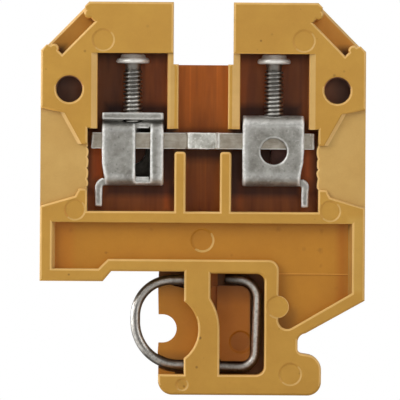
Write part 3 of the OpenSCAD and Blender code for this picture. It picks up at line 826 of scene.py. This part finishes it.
def build_bar():
    bm = rounded("current_bar", 0.085, 4)
    for v in bm.verts:
        p = v.co
        d = 0.012 * noise.noise(p * 1.1) + 0.006 * noise.noise(p * 4.0)
        if -2.2 < p.x < 2.2:
            # the wider middle is pressed: its edges are torn and uneven
            d += 0.05 * noise.noise(Vector((p.x * 2.2, p.y * 2.2 + 7.0, p.z * 2.2)))
            d += 0.03 * noise.noise(Vector((p.x * 5.0, p.y * 5.0, p.z * 5.0 + 3.0)))
        if abs(p.x) > 13.2:
            d += 0.05 * noise.noise(Vector((p.x * 2.5 + 11.0, p.y * 2.5, p.z * 2.5)))
        v.co = p + v.normal * d
        if abs(p.x) > 13.0:
            # sheared ends, a little short and uneven
            k = min(1.0, (abs(p.x) - 13.0) / 0.8)
            v.co.x -= math.copysign(k * (0.14 + 0.10 * noise.noise(Vector((p.x, p.y * 1.4, p.z * 1.3)))), p.x)
    bm.normal_update()

    # painted highlight: bright bands beside the pressed middle's edges, the edge brightening taken away just beside
    # them, and brighter sheared ends
    def burr_and_highlight(p, n):
        if p.y > -1.0:
            return 0.0
        end = 0.6 * math.exp(-((abs(p.x) - 13.6) / 0.12) ** 2) * (1.0 if noise.noise(Vector((p.x, 0.0, p.z * 1.5))) > 0 else 0.3)
        right = 1.4 * math.exp(-((p.x - 1.81) / 0.20) ** 4) - 0.7 * math.exp(-((p.x - 1.50) / 0.12) ** 2)
        left = 0.38 * math.exp(-((p.x + 1.62) / 0.30) ** 4) - 0.30 * math.exp(-((p.x + 1.88) / 0.12) ** 2)
        return right + left + end
    wear_and_highlight(bm, 0.03, 0.09, 2, burr_and_highlight)
    for f in bm.faces:
        if -1.95 < f.calc_center_median().x < 2.03:
            f.material_index = 1
    ob = make("current_bar_tinned", bm, [BAR, BOSS])
    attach(ob, "housing")
    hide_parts("current_bar")


# ---------------------------------------------------------------- clamp yokes

def build_yoke(side):
    node = side + "_clamp_yoke"
    x0 = -8.7 if side == "left" else 8.7
    bm = rounded(node, 0.085, 30)
    def painted_highlight_bands(p, n):
        """Painted highlight bands beside the edges and folds of the front wall, and places where the edge brightening
        is taken away.
        """
        if p.y > -1.7 or n.y > 0.2:
            return 0.0
        u, z = p.x - x0, p.z
        uneven = 0.75 + 0.5 * noise.noise(Vector((p.x * 0.9, 4.0, z * 0.7)))

        def band(d, w, amount):
            return amount * uneven * math.exp(-(d / w) ** 2)
        if side == "right":
            k = band(z - 33.45, 0.50, 0.62) + band(z - 27.0, 0.45, 0.30) + band(u + 3.65, 0.50, 0.55) + band(u - 3.55, 0.40, 0.45)
            hole = math.hypot(u + 0.13, z - 29.97)
            return k - (0.55 * math.exp(-((hole - 1.72) / 0.3) ** 2))
        if z > 33.3:
            return -0.42
        k = band(u + 3.55, 0.55, 0.60) + band(z - 26.75, 0.40, 0.35) + band(z - 32.6, 0.35, 0.25)
        k += band(u - 0.20, 0.22, 0.30) + band(u - 2.25, 0.25, 0.30) + band(u - 3.35, 0.30, 0.40)
        return k + (0.5 if 0.4 < u < 2.0 and z < 26.6 else 0.0)

    for v in bm.verts:
        p = v.co
        d = 0.020 * noise.noise(p * 0.9 + Vector((3.1, 0, 0))) + 0.010 * noise.noise(p * 2.6)
        v.co = p + v.normal * d
        # each tongue and the wall above it are bent a little by hand
        low = min(1.0, max(0.0, (26.4 - p.z) / 1.4))
        if side == "left":
            v.co.x -= 0.08 * low if p.x < -11.6 else 0.0
            if p.x < -11.4:
                v.co.x -= 0.16 * math.exp(-((p.z - 27.6) / 1.3) ** 2) * min(1.0, (-11.4 - p.x) / 0.4)
        else:
            v.co.x -= 0.15 * low if p.x > 11.6 else 0.0
            # its upper fold is pressed down a little
            v.co.z -= 0.27 * min(1.0, max(0.0, (p.z - 32.7) / 1.2))
    bm.normal_update()
    wear_and_highlight(bm, 0.012, 0.046, 6, painted_highlight_bands)
    # painted shade: faces inside the yoke take the dark inner metal
    mid = Vector((x0, -0.5, 30.1))
    for f in bm.faces:
        c = f.calc_center_median()
        if abs(c.y + 0.5) < 1.55 and 26.45 < c.z < 32.9 and abs(c.x - x0) < 3.6 and f.normal.dot(mid - c) > 0.0:
            f.material_index = 1
    ob = make(node + "_folded", bm, [YOKE, INNER if side == "left" else INNER_R])
    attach(ob, side + "_yoke")
    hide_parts(node)


# ---------------------------------------------------------------- clamp screws

PITCH, CREST, ROOT = 0.5, 1.16, 0.93


def build_screw(side):
    x = -8.7 if side == "left" else 8.7
    y, n, per = -0.5, 48, 16
    z0, z1 = 32.45, 40.10
    bm = bmesh.new()
    rings = []
    steps = int(round((z1 - z0) / PITCH * per))
    ends = [(0.80, 32.30), (0.92, 32.32), (0.97, 32.38)]
    top = [(0.95, 40.15), (0.95, 40.40), (1.00, 40.60), (1.10, 40.76), (1.84, 40.79), (1.96, 40.83), (2.04, 40.92), (2.06, 41.06), (2.02, 41.22),
           (1.94, 41.35), (1.80, 41.43), (1.62, 41.46), (1.57, 41.50), (1.54, 41.72), (1.46, 41.84), (1.30, 41.91), (1.00, 41.94), (0.25, 41.95)]

    def ring(radius_at, z):
        out = []
        for i in range(n):
            t = 2 * math.pi * i / n
            r = radius_at(t)
            out.append(bm.verts.new((x + r * math.cos(t), y + r * math.sin(t), z)))
        return out

    for r, z in ends:
        rings.append(ring(lambda t, r=r: r, z))
    for k in range(steps + 1):
        z = z0 + (z1 - z0) * k / steps
        fade = min(1.0, (z - z0) / 0.45 + 0.05, (z1 - z) / 0.35)

        def radius(t, z=z, fade=fade):
            ph = (z / PITCH - t / (2 * math.pi)) % 1.0
            f = min(1.0, max(0.0, (0.66 - abs(ph - 0.5) * 2) / 0.26))
            f = f * f * (3 - 2 * f)
            return ROOT + (CREST - ROOT) * f * max(fade, 0.0)
        rings.append(ring(radius, z))
    for r, z in top:
        rings.append(ring(lambda t, r=r: r, z))
    for a, b in zip(rings, rings[1:]):
        for i in range(n):
            bm.faces.new((a[i], a[(i + 1) % n], b[(i + 1) % n], b[i]))
    bm.faces.new(list(reversed(rings[0])))
    bm.faces.new(rings[-1])
    cut = bmesh.new()
    bmesh.ops.create_cube(cut, size=1.0, matrix=Matrix.Translation((x, y, 41.85)) @ Matrix.Diagonal((5, 0.56, 0.9, 1)))
    bm = boolean(bm, cut)
    for e in sharp_edges(bm, 50):
        e.smooth = False
    for f in bm.faces:
        # painted shade: the neck, the thread roots and the upper turns take darker metals; the head takes the
        # near-white one as painted light
        c = f.calc_center_median()
        if 40.0 < c.z < 40.77:
            f.material_index = 3
        elif z0 < c.z < 40.1 and math.hypot(c.x - x, c.y - y) < ROOT + 0.09:
            f.material_index = 1
        elif c.z > 40.75:
            f.material_index = 2
        elif c.z > 36.0 and c.z / PITCH - (math.atan2(c.y - y, c.x - x) % (2 * math.pi)) / (2 * math.pi) >= math.floor(36.9 / PITCH):
            f.material_index = 4
    ob = make(side + "_clamp_screw_threaded", bm, [SCREW, GROOVE, HEAD, NECK, THREAD_SHADE])
    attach(ob, side + "_screw")
    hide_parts(side + "_clamp_screw")


# ---------------------------------------------------------------- rail spring

def build_spring():
    y = 0.62
    pts = []

    def at(x, z):
        pts.append(Vector((x, y, z)))

    def bend(cx, cz, rad, a0, a1, n):
        for i in range(n):
            a = math.radians(a0 + (a1 - a0) * i / n)
            at(cx + rad * math.cos(a), cz + rad * math.sin(a))

    # left: a short run, the tighter upper bow, the wider lower bow
    left, hi, bx, bz, br, br2, fall = -8.21, 14.09, -2.81, 8.94, 5.4, 4.46, 2.0
    for i in range(10):
        at(0.5 + (left + br2 - 0.5) * i / 10, hi)
    bend(left + br2, hi - br2, br2, 90, 180, 36)
    for i in range(3):
        at(left, hi - br2 + (bz - hi + br2) * i / 3)
    bend(bx, bz, br, 180, 270 - fall, 40)
    # right: straight pieces and bends, one after the other
    pos = Vector((bx - br * math.sin(math.radians(fall)), 0, bz - br * math.cos(math.radians(fall))))
    head = -fall
    for kind, size, turn in (("go", 7.52, 0), ("bend", 2.05, 90.2), ("go", 6.53, 0), ("bend", 2.3, 88.3), ("go", 1.77, 0)):
        steps = 20 if kind == "bend" else int(size / 0.4)
        for i in range(steps):
            at(pos.x, pos.z)
            if kind == "go":
                d = math.radians(head)
                pos += Vector((math.cos(d), 0, math.sin(d))) * (size / steps)
            else:
                half = turn / steps / 2
                d = math.radians(head + half)
                pos += Vector((math.cos(d), 0, math.sin(d))) * (2 * size * math.sin(math.radians(half)))
                head += turn / steps
    at(pos.x, pos.z)
    bm = bmesh.new()
    tube(bm, pts, 0.6, 48, 0.3)
    ob = make("rail_spring_wire", bm, [WIRE])
    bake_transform(ob)
    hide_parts("rail_spring")


build_housing()
build_bar()
for side in ("left", "right"):
    build_yoke(side)
    build_screw(side)
build_spring()


# ---------------------------------------------------------------- floor, light and camera

def floor():
    bm = bmesh.new()
    s = 6.0
    vs = [bm.verts.new(p) for p in ((-s, -s, 0), (s, -s, 0), (s, s, 0), (-s, s, 0))]
    bm.faces.new(vs)
    me = bpy.data.meshes.new("floor")
    bm.to_mesh(me)
    bm.free()
    m = bpy.data.materials.new("floor_white")
    m.use_nodes = True
    t = m.node_tree
    b = t.nodes["Principled BSDF"]
    b.inputs["Base Color"].default_value = (0.70, 0.70, 0.70, 1)
    b.inputs["Roughness"].default_value = 0.9
    pale = t.nodes.new("ShaderNodeEmission")
    path = t.nodes.new("ShaderNodeLightPath")
    mix = t.nodes.new("ShaderNodeMixShader")
    t.links.new(path.outputs["Is Camera Ray"], mix.inputs["Fac"])
    t.links.new(b.outputs[0], mix.inputs[1])
    t.links.new(pale.outputs[0], mix.inputs[2])
    t.links.new(mix.outputs[0], t.nodes["Material Output"].inputs["Surface"])
    me.materials.append(m)
    ob = bpy.data.objects.new("floor", me)
    scene.collection.objects.link(ob)


def area(name, at, target, size, power, colour=(1, 1, 1)):
    d = bpy.data.lights.new(name, "AREA")
    d.shape, d.size, d.size_y = "RECTANGLE", size[0], size[1]
    d.energy, d.color = power, colour
    o = bpy.data.objects.new(name, d)
    scene.collection.objects.link(o)
    o.location = at
    o.rotation_mode = "QUATERNION"
    o.rotation_quaternion = (Vector(target) - Vector(at)).to_track_quat("-Z", "Y")
    return o


floor()
MID = (0.0, 0.0, 0.024)
area("left_box", (-0.36, -0.30, 0.30), MID, (0.36, 0.36), 1.77)
area("right_box", (0.38, -0.28, 0.24), MID, (0.36, 0.36), 0.78)
area("top_box", (0.0, -0.20, 0.50), MID, (0.50, 0.30), 0.38)
area("left_strip", (-0.50, 0.06, 0.10), MID, (0.40, 0.16), 1.3)
area("front_box", (0.06, -0.59, 0.125), MID, (0.14, 0.14), 0.19)

world = bpy.data.worlds.new("studio")
scene.world = world
world.use_nodes = True
wt = world.node_tree
bg = wt.nodes["Background"]
bg.inputs["Color"].default_value = (1, 1, 1, 1)
# dim in front of the part, pale behind it like the paper it is shown on
wc = wt.nodes.new("ShaderNodeTexCoord")
wx = wt.nodes.new("ShaderNodeSeparateXYZ")
wr = wt.nodes.new("ShaderNodeMapRange")
wt.links.new(wc.outputs["Generated"], wx.inputs[0])
wt.links.new(wx.outputs["Y"], wr.inputs["Value"])
for k, v in (("From Min", -0.05), ("From Max", 0.35), ("To Min", 0.12), ("To Max", 0.85)):
    wr.inputs[k].default_value = v
wt.links.new(wr.outputs["Result"], bg.inputs["Strength"])
seen = wt.nodes.new("ShaderNodeBackground")
seen.inputs["Color"].default_value = (1, 1, 1, 1)
seen.inputs["Strength"].default_value = 1.0
path = wt.nodes.new("ShaderNodeLightPath")
both = wt.nodes.new("ShaderNodeMixShader")
wt.links.new(path.outputs["Is Camera Ray"], both.inputs["Fac"])
wt.links.new(bg.outputs[0], both.inputs[1])
wt.links.new(seen.outputs[0], both.inputs[2])
wt.links.new(both.outputs[0], wt.nodes["World Output"].inputs["Surface"])

cam_data = bpy.data.cameras.new("camera")
cam = bpy.data.objects.new("camera", cam_data)
scene.collection.objects.link(cam)
scene.camera = cam
cam_data.lens, cam_data.sensor_width = 731.8, 36.0
cam_data.clip_start, cam_data.clip_end = 0.01, 50.0
eye, aim = Vector((-0.000325, -1.00325, 0.02397)), Vector((-0.000325, -0.00325, 0.02397))
cam.location = eye
cam.rotation_mode = "QUATERNION"
cam.rotation_quaternion = (aim - eye).to_track_quat("-Z", "Y") @ Quaternion((0, 0, 1), math.radians(0.38))

scene.view_settings.view_transform = "Standard"
scene.view_settings.look = "None"
